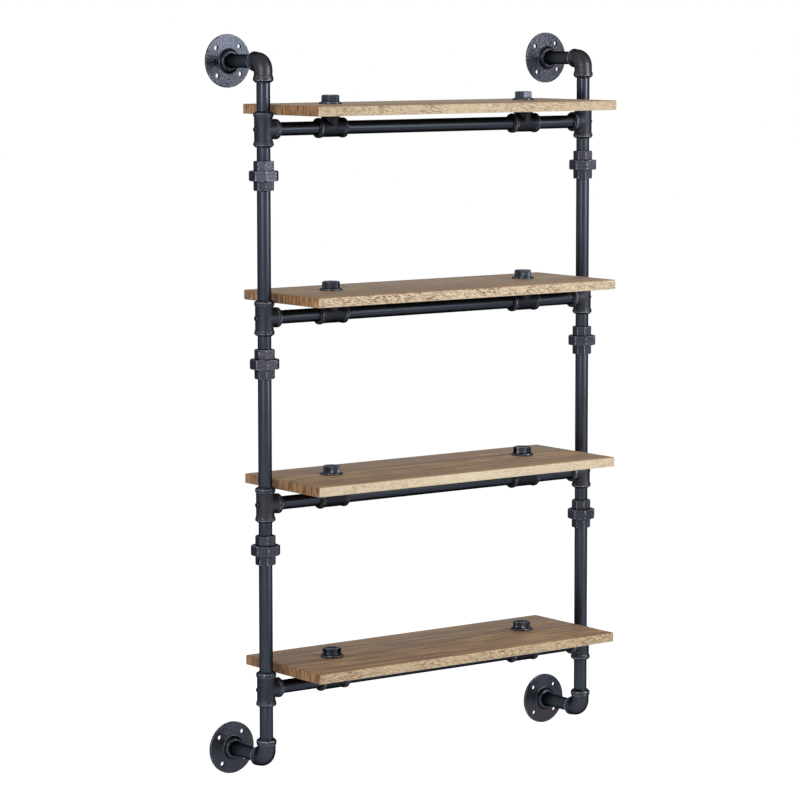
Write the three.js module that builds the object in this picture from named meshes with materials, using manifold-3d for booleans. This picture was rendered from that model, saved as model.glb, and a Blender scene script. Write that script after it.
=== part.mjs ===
// Wall-mounted pipe shelving unit: four boards on horizontal rails between two pipe risers.
// Millimetres. X runs along the boards, +Y goes into the wall and +Z is up.
// The wall plane is y = 0, and the origin lies on it, midway between the two lower wall flanges.

import * as THREE from 'three';
import { mergeVertices } from 'three/addons/utils/BufferGeometryUtils.js';
import Module from 'manifold-3d';

const wasm = await Module();
wasm.setup();

// Boards and how they lie between the risers
const SHELF_COUNT = 4;
const SHELF_PITCH = 290;
const BOARD_LENGTH = 590;
const BOARD_DEPTH = 203;
const BOARD_THICKNESS = 15.5;
const BOARD_BACK_GAP = 9;
const BOARD_END_GAP = 23;
const PLUG_INSET = 103;

// Pipe that shows between fittings
const WALL_NIPPLE_SHOWN = 62;
const UPPER_PIPE_SHOWN = 44;
const UNION_NIPPLE_SHOWN = 20.8;
const LOWER_PIPE_SHOWN = 50.5;

// Half-inch pipe and how it fits its sockets
const PIPE_DIAMETER = 21.3;
const PIPE_WALL = 2.6;
const THREAD_DEPTH = 12;
const FIT_GAP = 0.3;
const HOLE_CLEARANCE = 0.6;

// Malleable fittings: a plain body with a raised band round each mouth
const BODY_WALL = 3.45;
const BAND_RISE = 1.45;
const BAND_REACH = 4.4;
const BAND_SHOULDER = 3.8;
const MOUTH_WALL = 1.75;
const TEE_RUN_REACH = 27.5;
const TEE_BRANCH_REACH = 26.5;
const TEE_OUTLET_REACH = 21.2;
const ELBOW_RISER_REACH = 32;
const ELBOW_WALL_REACH = 24;
const ELBOW_BEND_RADIUS = 16.5;

// Three-piece unions: a tail with a collar, a nut that carries it, and a threaded end below
const UNION_END_HEIGHT = 14.6;
const UNION_END_WALL = 3.55;
const UNION_TAIL_WALL = 2.35;
const UNION_COLLAR_RISE = 3;
const UNION_COLLAR_HEIGHT = 4.2;
const UNION_NUT_HEIGHT = 15.8;
const UNION_NUT_WALL = 5;
const UNION_NUT_LIP = 3.2;
const UNION_NUT_CHAMFER = 1.4;

// Wall flanges
const FLANGE_DIAMETER = 83;
const FLANGE_RIM = 3.6;
const FLANGE_RIM_ROUND = 0.9;
const FLANGE_DISH = 1.6;
const HUB_WALL = 6.55;
const HUB_RISE = 8.3;
const HUB_FILLET = 3;
const HUB_ROUND = 2;
const SCREW_COUNT = 4;
const SCREW_HOLE_DIAMETER = 7.2;
const SCREW_CIRCLE_DIAMETER = 60.7;
const NIPPLE_INSET = 2.5;

// Flanged hexagon plugs that clamp the boards to the rail tees
const PLUG_FLATS = 24.2;
const PLUG_HEAD_HEIGHT = 10;
const PLUG_HEAD_CHAMFER = 1.2;
const PLUG_FLANGE_DIAMETER = 34.4;
const PLUG_FLANGE_HEIGHT = 3.8;
const PLUG_FLANGE_EDGE = 1.4;
const PLUG_THREAD_DEPTH = 8;

// Each flange and plug stops at its own turn on the thread, in degrees; the plugs' are those of a
// corner of the head from the X axis, the highest board first and its left plug first
const FLANGE_TURNS = { upper_left: 3, upper_right: 6, lower_left: 7, lower_right: 1.6 };
const PLUG_TURNS = [[42.6, 59], [42, 44], [51, 15], [25, 3]];

// Facets of round forms, overrun of every cut, and the distance at which corners are one
const ROUND_SIDES = 12;
const FLANGE_SIDES = 20;
const HOLE_SIDES = 8;
const BORE_SIDES = 6;
const OCTAGON_SIDES = 8;
const HEXAGON_SIDES = 6;
const BEND_STEPS = 3;
const CUT_OVERRUN = 2;
const WELD_DISTANCE = 0.001;

// Radii that follow
const PIPE_RADIUS = PIPE_DIAMETER / 2;
const BORE_RADIUS = PIPE_RADIUS - PIPE_WALL;
const SOCKET_RADIUS = PIPE_RADIUS + FIT_GAP;
const BODY_RADIUS = SOCKET_RADIUS + BODY_WALL;
const BAND_RADIUS = BODY_RADIUS + BAND_RISE;
const MOUTH_RADIUS = SOCKET_RADIUS + MOUTH_WALL;
const TAIL_RADIUS = PIPE_RADIUS + UNION_TAIL_WALL;
const COLLAR_RADIUS = TAIL_RADIUS + UNION_COLLAR_RISE;
const UNION_END_FLATS = 2 * (PIPE_RADIUS + UNION_END_WALL);
const UNION_NUT_FLATS = 2 * (COLLAR_RADIUS + FIT_GAP + UNION_NUT_WALL);
const HUB_RADIUS = SOCKET_RADIUS + HUB_WALL;
const HUB_HEIGHT = FLANGE_RIM + FLANGE_DISH + HUB_RISE;

// Places that follow: riser axes, rail heights and the height of the boards on a rail
const RISER_X = BOARD_LENGTH / 2 + BOARD_END_GAP;
const RISER_STANDOFF = HUB_HEIGHT + WALL_NIPPLE_SHOWN + ELBOW_WALL_REACH;
const LOWEST_RAIL = ELBOW_RISER_REACH + LOWER_PIPE_SHOWN + TEE_RUN_REACH;
const HIGHEST_RAIL = LOWEST_RAIL + (SHELF_COUNT - 1) * SHELF_PITCH;
const UPPER_FLANGE_HEIGHT = HIGHEST_RAIL + TEE_RUN_REACH + UPPER_PIPE_SHOWN + ELBOW_RISER_REACH;
const PIPE_TIP = TEE_RUN_REACH - THREAD_DEPTH;
const PLUG_X = BOARD_LENGTH / 2 - PLUG_INSET;
const BOARD_UNDERSIDE = TEE_OUTLET_REACH + FIT_GAP;
const BOARD_TOP = BOARD_UNDERSIDE + BOARD_THICKNESS;

// Heights of the union's parts, counted from the tee that it hangs from
const UNION_TOP = -TEE_RUN_REACH - UNION_NIPPLE_SHOWN;
const NUT_TOP = UNION_TOP - UNION_END_HEIGHT - FIT_GAP;
const NUT_BOTTOM = NUT_TOP - UNION_NUT_HEIGHT;
const COLLAR_TOP = NUT_TOP - UNION_NUT_LIP - FIT_GAP;
const COLLAR_BOTTOM = COLLAR_TOP - UNION_COLLAR_HEIGHT;
const LOWER_END_TOP = NUT_BOTTOM - FIT_GAP;
const LOWER_END_BOTTOM = LOWER_END_TOP - UNION_END_HEIGHT;

// Finishes: dark cast iron, satin paint on the pipe and oiled oak
const IRON_FITTING = { color: 0x2b2d33, roughness: 0.55, metalness: 0.6 };
const PIPE_PAINT = { color: 0x3a3f49, roughness: 0.4, metalness: 0.5 };
const BOARD_OAK = { color: 0x8c7458, roughness: 0.75, metalness: 0 };

const UP = new THREE.Vector3(0, 0, 1);
const DOWN = new THREE.Vector3(0, 0, -1);
const RIGHT = new THREE.Vector3(1, 0, 0);
const TO_WALL = new THREE.Vector3(0, 1, 0);
const RIGHT_ANGLE = Math.PI / 2;

const unit = new THREE.Group();

// Turns a closed three.js geometry into a solid for joining and cutting
function solidOf(geometry, place = new THREE.Matrix4()) {
  const bare = geometry.index ? geometry.toNonIndexed() : geometry.clone();
  bare.deleteAttribute('normal');
  bare.deleteAttribute('uv');
  bare.applyMatrix4(place);
  const merged = mergeVertices(bare, WELD_DISTANCE);
  return new wasm.Manifold(new wasm.Mesh({
    numProp: 3,
    vertProperties: new Float32Array(merged.attributes.position.array),
    triVerts: new Uint32Array(merged.index.array),
  }));
}

// Gives a joined or cut solid back as a three.js geometry
function geometryOf(solid) {
  const mesh = solid.getMesh();
  const geometry = new THREE.BufferGeometry();
  geometry.setAttribute('position', new THREE.BufferAttribute(mesh.vertProperties, 3));
  geometry.setIndex(new THREE.BufferAttribute(mesh.triVerts, 1));
  const flat = geometry.toNonIndexed();
  flat.computeVertexNormals();
  return flat;
}

// Turns the axis of a revolved form, its local Y, onto a direction
function along(direction) {
  const turn = new THREE.Quaternion().setFromUnitVectors(new THREE.Vector3(0, 1, 0), direction);
  return new THREE.Matrix4().makeRotationFromQuaternion(turn);
}

// Revolved form from pairs of radius and distance along the axis, closed on the axis at both ends
function revolved(profile, sides = ROUND_SIDES) {
  const start = [0, profile[0][1]];
  const end = [0, profile[profile.length - 1][1]];
  const points = [start, ...profile, end].map(([radius, reach]) => new THREE.Vector2(radius, reach));
  return new THREE.LatheGeometry(points, sides);
}

function revolvedSolid(profile, direction, sides = ROUND_SIDES) {
  return solidOf(revolved(profile, sides), along(direction));
}

function rod(radius, from, to, direction, sides = ROUND_SIDES) {
  return revolvedSolid([[radius, from], [radius, to]], direction, sides);
}

// Distance from the axis to the corners of a regular form whose opposite flats lie this far apart
function cornerRadius(flats, sides) {
  return flats / 2 / Math.cos(Math.PI / sides);
}

// Upright octagonal form from its corners' profile, with its flats square to the axes
function octagon(profile) {
  const form = revolved(profile, OCTAGON_SIDES);
  form.rotateY(Math.PI / OCTAGON_SIDES);
  return solidOf(form, along(UP));
}

function addNode(name, geometry, finish, place) {
  const mesh = new THREE.Mesh(geometry, new THREE.MeshStandardMaterial(finish));
  mesh.name = name;
  mesh.position.copy(place);
  unit.add(mesh);
}

// Hollow of a pipe between two points of its axis
function waterway(from, to, direction) {
  return rod(BORE_RADIUS, from, to, direction, BORE_SIDES);
}

function pipe(from, to, direction) {
  const wall = rod(PIPE_RADIUS, from, to, direction);
  return geometryOf(wall.subtract(waterway(from - CUT_OVERRUN, to + CUT_OVERRUN, direction)));
}

// Mouth of a fitting, from the plain body over the crown of the band to its end face
function mouth(reach) {
  return [[BODY_RADIUS, reach - BAND_REACH - BAND_SHOULDER], [BAND_RADIUS, reach - BAND_REACH],
    [MOUTH_RADIUS, reach]];
}

// Banded tee at the crossing of its centre lines
function teeBody(runAxis, branchAxis, branchReach) {
  const runMouth = mouth(TEE_RUN_REACH);
  const farMouth = runMouth.map(([radius, reach]) => [radius, -reach]).reverse();
  const run = revolvedSolid([...farMouth, ...runMouth], runAxis);
  return run.add(revolvedSolid([[BODY_RADIUS, 0], ...mouth(branchReach)], branchAxis));
}

// Tee on a riser: the pipe sockets run through it, and the branch carries a rail
function riserTee(inward) {
  const through = TEE_RUN_REACH + CUT_OVERRUN;
  const runSocket = rod(SOCKET_RADIUS, -through, through, UP);
  const branchSocket = rod(SOCKET_RADIUS, 0, TEE_BRANCH_REACH + CUT_OVERRUN, inward);
  const body = teeBody(UP, inward, TEE_BRANCH_REACH);
  return geometryOf(body.subtract(runSocket.add(branchSocket)));
}

// Tee on a rail with its outlet up, and the stub pipe that reaches out into the riser tee
function railTeeWithStub(outward) {
  const stubTip = RISER_X - PLUG_X - TEE_BRANCH_REACH + THREAD_DEPTH;
  const body = teeBody(outward, UP, TEE_OUTLET_REACH).add(rod(PIPE_RADIUS, PIPE_TIP, stubTip, outward));
  const outlet = rod(SOCKET_RADIUS, 0, TEE_OUTLET_REACH + CUT_OVERRUN, UP);
  const socket = rod(SOCKET_RADIUS, -TEE_RUN_REACH - CUT_OVERRUN, 0, outward);
  const hollow = outlet.add(socket).add(waterway(0, stubTip + CUT_OVERRUN, outward));
  return geometryOf(body.subtract(hollow));
}

// Octagonal end of a union, where a wrench holds it
function unionEnd(from, to) {
  const corner = cornerRadius(UNION_END_FLATS, OCTAGON_SIDES);
  return octagon([[corner, from], [corner, to]]);
}

// Nipple below a tee with the tail of the union on it; the collar hangs inside the nut
function unionTail() {
  const nipple = rod(PIPE_RADIUS, UNION_TOP, -PIPE_TIP, UP);
  const end = unionEnd(NUT_TOP + FIT_GAP, UNION_TOP);
  const collar = revolvedSolid([[COLLAR_RADIUS, COLLAR_BOTTOM], [COLLAR_RADIUS, COLLAR_TOP],
    [TAIL_RADIUS, COLLAR_TOP], [TAIL_RADIUS, NUT_TOP + FIT_GAP]], UP);
  const hollow = waterway(COLLAR_BOTTOM - CUT_OVERRUN, CUT_OVERRUN, UP);
  return geometryOf(nipple.add(end).add(collar).subtract(hollow));
}

function unionNut() {
  const corner = cornerRadius(UNION_NUT_FLATS, OCTAGON_SIDES);
  const rim = corner - UNION_NUT_CHAMFER;
  const body = octagon([[rim, NUT_BOTTOM], [corner, NUT_BOTTOM + UNION_NUT_CHAMFER],
    [corner, NUT_TOP - UNION_NUT_CHAMFER], [rim, NUT_TOP]]);
  const wide = COLLAR_RADIUS + FIT_GAP;
  const narrow = TAIL_RADIUS + FIT_GAP;
  const bore = revolvedSolid([[wide, NUT_BOTTOM - CUT_OVERRUN], [wide, NUT_TOP - UNION_NUT_LIP],
    [narrow, NUT_TOP - UNION_NUT_LIP], [narrow, NUT_TOP + CUT_OVERRUN]], UP);
  return geometryOf(body.subtract(bore));
}

// Threaded end of the union on the long pipe that runs down into the next tee
function unionPipe() {
  const tip = PIPE_TIP - SHELF_PITCH;
  const neck = rod(COLLAR_RADIUS, LOWER_END_TOP, COLLAR_BOTTOM - FIT_GAP, UP);
  const end = unionEnd(LOWER_END_BOTTOM, LOWER_END_TOP);
  const tube = rod(PIPE_RADIUS, tip, LOWER_END_BOTTOM, UP);
  const hollow = waterway(tip - CUT_OVERRUN, CUT_OVERRUN, UP);
  return geometryOf(neck.add(end).add(tube).subtract(hollow));
}

// Closed loft of rings square to a path in the YZ plane; each station has y, z, lean and radius
function loft(stations, sides) {
  const rings = stations.map(({ y, z, lean, radius }) => {
    const ring = [];
    for (let i = 0; i < sides; i += 1) {
      const angle = (2 * Math.PI * i) / sides;
      const across = radius * Math.cos(angle);
      const x = radius * Math.sin(angle);
      ring.push(new THREE.Vector3(x, y + across * Math.cos(lean), z + across * Math.sin(lean)));
    }
    return ring;
  });
  const positions = [];
  const face = (...corners) => corners.forEach((corner) => positions.push(...corner.toArray()));
  for (let s = 0; s + 1 < rings.length; s += 1) {
    for (let i = 0; i < sides; i += 1) {
      const j = (i + 1) % sides;
      face(rings[s][i], rings[s + 1][i], rings[s + 1][j]);
      face(rings[s][i], rings[s + 1][j], rings[s][j]);
    }
  }
  const head = rings[0];
  const foot = rings[rings.length - 1];
  for (let i = 1; i + 1 < sides; i += 1) {
    face(head[0], head[i], head[i + 1]);
    face(foot[0], foot[i + 1], foot[i]);
  }
  const geometry = new THREE.BufferGeometry();
  geometry.setAttribute('position', new THREE.Float32BufferAttribute(positions, 3));
  return solidOf(geometry);
}

// Elbow path from the wall mouth round the bend to the riser mouth, which points down
function elbowForm(wallMouth, riserMouth, radius, sides) {
  const stations = wallMouth.map(([r, reach]) => ({ y: reach, z: 0, lean: RIGHT_ANGLE, radius: r }));
  stations.reverse();
  for (let i = 0; i <= BEND_STEPS; i += 1) {
    const angle = (RIGHT_ANGLE * i) / BEND_STEPS;
    const y = ELBOW_BEND_RADIUS * (1 - Math.sin(angle));
    const z = -ELBOW_BEND_RADIUS * (1 - Math.cos(angle));
    stations.push({ y, z, lean: RIGHT_ANGLE + angle, radius });
  }
  stations.push(...riserMouth.map(([r, reach]) => ({ y: 0, z: -reach, lean: Math.PI, radius: r })));
  return loft(stations, sides);
}

// Elbow with its wall nipple made up in it, at the crossing of the two centre lines
function elbowWithNipple() {
  const wallMouth = mouth(ELBOW_WALL_REACH).slice(1);
  const shell = elbowForm(wallMouth, mouth(ELBOW_RISER_REACH), BODY_RADIUS, ROUND_SIDES);
  const nippleTip = RISER_STANDOFF - NIPPLE_INSET;
  const nipple = rod(PIPE_RADIUS, ELBOW_WALL_REACH - THREAD_DEPTH, nippleTip, TO_WALL);
  const hollow = elbowForm([[BORE_RADIUS, nippleTip + CUT_OVERRUN]],
    [[BORE_RADIUS, ELBOW_RISER_REACH + CUT_OVERRUN]], BORE_RADIUS, BORE_SIDES);
  return { body: shell.add(nipple), hollow };
}

// Upper elbow: its riser mouth is a socket for the upper pipe
function upperElbow() {
  const { body, hollow } = elbowWithNipple();
  const seat = ELBOW_RISER_REACH - THREAD_DEPTH - FIT_GAP;
  const socket = rod(SOCKET_RADIUS, seat, ELBOW_RISER_REACH + CUT_OVERRUN, DOWN);
  return geometryOf(body.subtract(hollow).subtract(socket));
}

// Lower elbow: it points up, and the lower pipe of the riser is made up in it
function lowerElbow() {
  const { body, hollow } = elbowWithNipple();
  const tip = LOWEST_RAIL - PIPE_TIP;
  const tube = rod(PIPE_RADIUS, ELBOW_RISER_REACH - THREAD_DEPTH, tip, DOWN);
  const tubeHollow = waterway(ELBOW_RISER_REACH, tip + CUT_OVERRUN, DOWN);
  const geometry = geometryOf(body.add(tube).subtract(hollow.add(tubeHollow)));
  geometry.rotateY(Math.PI);
  return geometry;
}

// Wall flange, its back on the wall plane: a dished disc, a raised hub and the screw holes
function wallFlange(turn) {
  const rim = FLANGE_DIAMETER / 2;
  const disc = FLANGE_RIM + FLANGE_DISH;
  let body = revolvedSolid([[HUB_RADIUS - HUB_ROUND, -HUB_HEIGHT], [HUB_RADIUS, HUB_ROUND - HUB_HEIGHT],
    [HUB_RADIUS, -disc - HUB_FILLET], [HUB_RADIUS + HUB_FILLET, -disc],
    [rim - FLANGE_RIM_ROUND, -FLANGE_RIM], [rim, FLANGE_RIM_ROUND - FLANGE_RIM], [rim, 0]],
  TO_WALL, FLANGE_SIDES);
  const hole = rod(SCREW_HOLE_DIAMETER / 2, -disc - CUT_OVERRUN, CUT_OVERRUN, TO_WALL, HOLE_SIDES);
  const reach = SCREW_CIRCLE_DIAMETER / 2;
  for (let i = 0; i < SCREW_COUNT; i += 1) {
    const angle = (2 * Math.PI * (i + 1 / 2)) / SCREW_COUNT + THREE.MathUtils.degToRad(turn);
    body = body.subtract(hole.translate([reach * Math.cos(angle), 0, reach * Math.sin(angle)]));
  }
  return geometryOf(body.subtract(rod(SOCKET_RADIUS, -HUB_HEIGHT - CUT_OVERRUN, CUT_OVERRUN, TO_WALL)));
}

// Board about its rail's axis, with a through hole for the shank of each plug
function board() {
  const back = RISER_STANDOFF - BOARD_BACK_GAP;
  const outline = new THREE.Shape();
  outline.moveTo(-BOARD_LENGTH / 2, back - BOARD_DEPTH);
  outline.lineTo(BOARD_LENGTH / 2, back - BOARD_DEPTH);
  outline.lineTo(BOARD_LENGTH / 2, back);
  outline.lineTo(-BOARD_LENGTH / 2, back);
  outline.closePath();
  for (const side of [-1, 1]) {
    const hole = new THREE.Path();
    hole.absarc(side * PLUG_X, 0, PIPE_RADIUS + HOLE_CLEARANCE, 0, 2 * Math.PI, true);
    outline.holes.push(hole);
  }
  return new THREE.ExtrudeGeometry(outline, {
    depth: BOARD_THICKNESS,
    bevelEnabled: false,
    curveSegments: ROUND_SIDES / 2,
  });
}

// Hexagon plug with a flared flange; its origin is on the axis at the board's top face
function plug(turn) {
  const flangeRadius = PLUG_FLANGE_DIAMETER / 2;
  const flangeTop = FIT_GAP + PLUG_FLANGE_HEIGHT;
  const headTop = flangeTop + PLUG_HEAD_HEIGHT;
  const corner = cornerRadius(PLUG_FLATS, HEXAGON_SIDES);
  const flange = revolvedSolid([[flangeRadius, FIT_GAP], [flangeRadius, FIT_GAP + PLUG_FLANGE_EDGE],
    [corner, flangeTop]], UP);
  const head = revolved([[corner, FIT_GAP + PLUG_FLANGE_EDGE], [corner, headTop - PLUG_HEAD_CHAMFER],
    [corner - PLUG_HEAD_CHAMFER, headTop]], HEXAGON_SIDES);
  head.rotateY(RIGHT_ANGLE + THREE.MathUtils.degToRad(turn));
  const shankTip = -BOARD_THICKNESS - FIT_GAP - PLUG_THREAD_DEPTH;
  const shank = rod(PIPE_RADIUS, shankTip, FIT_GAP + PLUG_FLANGE_EDGE, UP);
  return geometryOf(flange.add(solidOf(head, along(UP))).add(shank));
}

// Wall fittings and end pipes of one riser
function addRiserEnds(name, x) {
  const at = (z) => new THREE.Vector3(x, -RISER_STANDOFF, z);
  const flanges = { upper: UPPER_FLANGE_HEIGHT, lower: 0 };
  for (const [end, height] of Object.entries(flanges)) {
    const turn = FLANGE_TURNS[`${end}_${name}`];
    addNode(`${end}_flange_${name}`, wallFlange(turn), IRON_FITTING, new THREE.Vector3(x, 0, height));
  }
  addNode(`upper_elbow_${name}`, upperElbow(), IRON_FITTING, at(UPPER_FLANGE_HEIGHT));
  addNode(`lower_elbow_${name}`, lowerElbow(), IRON_FITTING, at(0));
  const upperTip = UPPER_FLANGE_HEIGHT - ELBOW_RISER_REACH + THREAD_DEPTH;
  addNode(`upper_pipe_${name}`, pipe(HIGHEST_RAIL + PIPE_TIP, upperTip, UP), PIPE_PAINT, at(0));
}

// Tees of one riser, and below each but the last a union and the long pipe to the next tee
function addRiserRun(name, x, inward) {
  for (let level = 1; level <= SHELF_COUNT; level += 1) {
    const place = new THREE.Vector3(x, -RISER_STANDOFF, HIGHEST_RAIL - (level - 1) * SHELF_PITCH);
    addNode(`riser_tee_${level}_${name}`, riserTee(inward), IRON_FITTING, place);
    if (level < SHELF_COUNT) {
      addNode(`union_tail_${level}_${name}`, unionTail(), IRON_FITTING, place);
      addNode(`union_nut_${level}_${name}`, unionNut(), IRON_FITTING, place);
      addNode(`riser_pipe_${level}_${name}`, unionPipe(), PIPE_PAINT, place);
    }
  }
}

// One shelf: the rail pipe, the two tees on it, the board and the two plugs that hold it down
function addShelf(level) {
  const height = HIGHEST_RAIL - (level - 1) * SHELF_PITCH;
  const at = (x, z) => new THREE.Vector3(x, -RISER_STANDOFF, z);
  const railTip = PLUG_X - PIPE_TIP;
  addNode(`board_${level}`, board(), BOARD_OAK, at(0, height + BOARD_UNDERSIDE));
  addNode(`rail_pipe_${level}`, pipe(-railTip, railTip, RIGHT), PIPE_PAINT, at(0, height));
  const turns = PLUG_TURNS[(level - 1) % PLUG_TURNS.length];
  for (const [name, side, turn] of [['left', -1, turns[0]], ['right', 1, turns[1]]]) {
    const x = side * PLUG_X;
    const outward = RIGHT.clone().multiplyScalar(side);
    addNode(`rail_tee_${level}_${name}`, railTeeWithStub(outward), IRON_FITTING, at(x, height));
    addNode(`plug_${level}_${name}`, plug(turn), IRON_FITTING, at(x, height + BOARD_TOP));
  }
}

for (const [name, side] of [['left', -1], ['right', 1]]) {
  addRiserEnds(name, side * RISER_X);
  addRiserRun(name, side * RISER_X, RIGHT.clone().multiplyScalar(-side));
}
for (let level = 1; level <= SHELF_COUNT; level += 1) {
  addShelf(level);
}

export default unit;
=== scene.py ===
import math

import bmesh
import bpy
from mathutils import Matrix, Vector


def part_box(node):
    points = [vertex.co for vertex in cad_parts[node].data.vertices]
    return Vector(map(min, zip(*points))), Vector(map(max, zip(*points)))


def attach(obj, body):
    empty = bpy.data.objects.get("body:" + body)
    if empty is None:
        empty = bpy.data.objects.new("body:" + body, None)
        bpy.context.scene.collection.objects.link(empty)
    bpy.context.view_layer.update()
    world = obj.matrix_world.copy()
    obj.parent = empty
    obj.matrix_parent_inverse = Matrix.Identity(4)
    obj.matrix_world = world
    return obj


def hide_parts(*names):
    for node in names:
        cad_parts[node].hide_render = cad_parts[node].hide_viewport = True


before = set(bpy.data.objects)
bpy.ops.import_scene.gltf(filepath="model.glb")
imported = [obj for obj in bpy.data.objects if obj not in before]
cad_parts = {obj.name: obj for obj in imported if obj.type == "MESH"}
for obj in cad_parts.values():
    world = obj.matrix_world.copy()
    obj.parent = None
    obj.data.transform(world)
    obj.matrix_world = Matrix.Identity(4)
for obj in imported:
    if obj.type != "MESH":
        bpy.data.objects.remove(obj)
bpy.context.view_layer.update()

# A wall-mounted pipe shelving unit: oak boards on iron pipe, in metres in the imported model's frame.
# The sizes below are in millimetres, and a point is turned to metres when its mesh is made.
MM = 0.001

# Half-inch pipe, with a coarse taper thread that shows as a turn or so at each fitting. The groove
# fades out over the last turns.
PIPE_RADIUS = 10.65
PIPE_WALL = 2.6
THREAD_LENGTH = 7.6
THREAD_PITCH = 1.81
THREAD_DEPTH = 0.7
THREAD_ROWS = 22
RUNOUT_TURNS = 1.6
PIPE_SIDES = 48

# Malleable fittings: body, crotch fillet and the band round each mouth
BODY_RADIUS = 14.4
BAND_RADIUS = 15.85
MOUTH_LENGTH = 9.8
SOCKET_RADIUS = 11.0
SOCKET_DEPTH = 6.0
PIPE_IN_SOCKET = 5.6
CROTCH_FILLET = 2.2
OUTLET_FILLET = 1.2
TEE_RUN_REACH = 27.5
TEE_BRANCH_REACH = 26.5
TEE_OUTLET_REACH = 21.2
ELBOW_RISER_REACH = 32.0
ELBOW_WALL_REACH = 24.0
ELBOW_BEND_RADIUS = 16.5
ELBOW_BULGE = 0.05
ELBOW_BAND_STRETCH = 1.18
HALF_COLUMNS = 28
BODY_STEPS = 3
FILLET_STEPS = 6
BEND_STEPS = 14

# Three-piece unions, their heights counted down from the centre of the tee above
UNION_TOP = -48.3
UNION_END_FLATS = 30.0
UNION_NUT_TOP = -63.2
UNION_NUT_BOTTOM = -79.0
UNION_NUT_FLATS = 43.2
UNION_BOTTOM = -93.9
UNION_TAIL_RADIUS = 13.0
UNION_COLLAR_RADIUS = 16.0
UNION_COLLAR_TOP = -66.7
UNION_COLLAR_BOTTOM = -70.9
UNION_CORNERS = 8
FIT_GAP = 0.3

# Wrench forms: corner rounding, chamfer and how far in from the flats the chamfer starts
WRENCH_CORNER_ROUND = 0.7
EDGE_BREAK = 0.4
NUT_BORE_CHAMFER = 0.5
CHAMFER_ANGLE = 30.0
UNION_END_INSET = 0.2
UNION_NUT_INSET = 0.5
PLUG_INSET = 0.8
FLAT_STEPS = 7

# How far wrench forms are rubbed bare at their edges, corners and flats
EDGE_WEAR = 1.15
EDGE_WEAR_WIDTH = 0.8
CORNER_WEAR = 1.0
FLAT_WEAR = 0.15

# Wall flanges: rim, shallow turned dish, hub and screw holes
FLANGE_RADIUS = 41.5
FLANGE_RIM = 3.6
FLANGE_DISH = 1.6
FLANGE_EDGE_ROUND = 0.9
FLANGE_BACK_CHAMFER = 0.3
FLANGE_RIM_LAND = 1.0
HUB_RADIUS = 17.5
HUB_HEIGHT = 13.5
HUB_FILLET = 3.0
HUB_ROUND = 4.6
TOOL_MARK_PITCH = 1.9
TOOL_MARK_DEPTH = 0.035
POINTS_PER_MARK = 4
SCREW_COUNT = 4
SCREW_HOLE_RADIUS = 3.6
SCREW_CIRCLE_RADIUS = 30.35
SCREW_HOLE_SIDES = 32
NIPPLE_INSET = 2.5
FLANGE_SIDES = 96

# How far each flange was turned when its thread came up tight, in degrees
FLANGE_TURNS = {"upper_left": 3.0, "upper_right": 6.0, "lower_left": 7.0, "lower_right": 1.6}

# Hexagon plugs with a flared flange. A point of the flare is its share of the way in from the rim,
# its share of the rise and its wear. The turns are those of a corner of each head, in degrees.
PLUG_CORNERS = 6
PLUG_FLATS = 25.6
PLUG_HEAD_TOP = 14.1
PLUG_FLANGE_RADIUS = 17.9
PLUG_FLANGE_CHAMFER = 0.3
PLUG_FLANGE_EDGE = 2.3
PLUG_FLANGE_TOP = 4.4
PLUG_FLARE = ((0.12, 0.22, 0.9), (0.35, 0.36, 0.4), (0.7, 0.5, 0.1), (0.9, 0.68, 0.0), (1.0, 1.0, 0.0))
PLUG_SHANK_TIP = -22.0
PLUG_TIP_RADIUS = 9.6
PLUG_TIP_CHAMFER = 1.0
PLUG_TURNS = {1: (42.6, 59.0), 2: (42.0, 44.0), 3: (51.0, 15.0), 4: (25.0, 3.0)}

# Set screws in the outer side of the riser tees
SET_SCREW_RADIUS = 4.8
SET_SCREW_RISE = 2.8
SET_SCREW_ROOT = 2.0
SET_SCREW_SOCKET_CORNERS = 6
SET_SCREW_SOCKET = 4.2
SET_SCREW_CORNER_ROUND = 0.2

# Oak boards, glued up from staves. The seeds pick what sets one board apart from the next: how pale
# its sawn edge is, how dark the dashes on it are, and how much oil was left off it.
BOARD_EDGE_ROUND = 1.6
BOARD_HOLE_RADIUS = 11.25
BOARD_HOLE_SIDES = 48
STAVE_WIDTH = 35.0
FRONT_STAVE = 14.0
BOARD_PITCH = 290.0
PALE_SEED = 202.0
DASH_SEED = 488.0
OIL_SEED = 509.0

# Widths of the surface patterns, across one bump, blotch, pore or streak. The iron's peel is really
# 1 to 2 wide and its pebble 0.5 to 1, the paint's grit 0.1, the pores 0.3 and the saw's dashes 0.5.
# These five are drawn as coarse as they need to be to show.
IRON_PEBBLE = 1.7857
IRON_PEEL = 3.0303
IRON_BLOTCH = 19.231
IRON_HANDLING = 58.82
PAINT_DRIFT = 38.46
PAINT_GRIT = 1.1111
OAK_FIGURE = 21.739
OAK_STREAK = 8.3333
OAK_PORE = 2.0833
OAK_STAIN = 76.92
END_GRAIN_BLOCK = 4.3478
SAWN_DASH = 1.04167

WELD = 0.002
OUT_OF_WALL = Matrix.Rotation(math.pi / 2, 4, "X")
SHARP_ANGLE = math.radians(32)
SIDES = {"left": -1, "right": 1}
LEVELS = (1, 2, 3, 4)


def middle(node):
    """Middle of a CAD node's box, in millimetres."""
    low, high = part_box(node)
    return (low + high) / 2 / MM


RISER_X = middle("upper_pipe_right").x
RISER_Y = middle("upper_pipe_right").y
PLUG_X = middle("plug_1_right").x
RAIL_Z = {level: middle(f"rail_pipe_{level}").z for level in LEVELS}
ELBOW_Z = {"upper": middle("upper_flange_left").z, "lower": middle("lower_flange_left").z}


# Node trees

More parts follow.
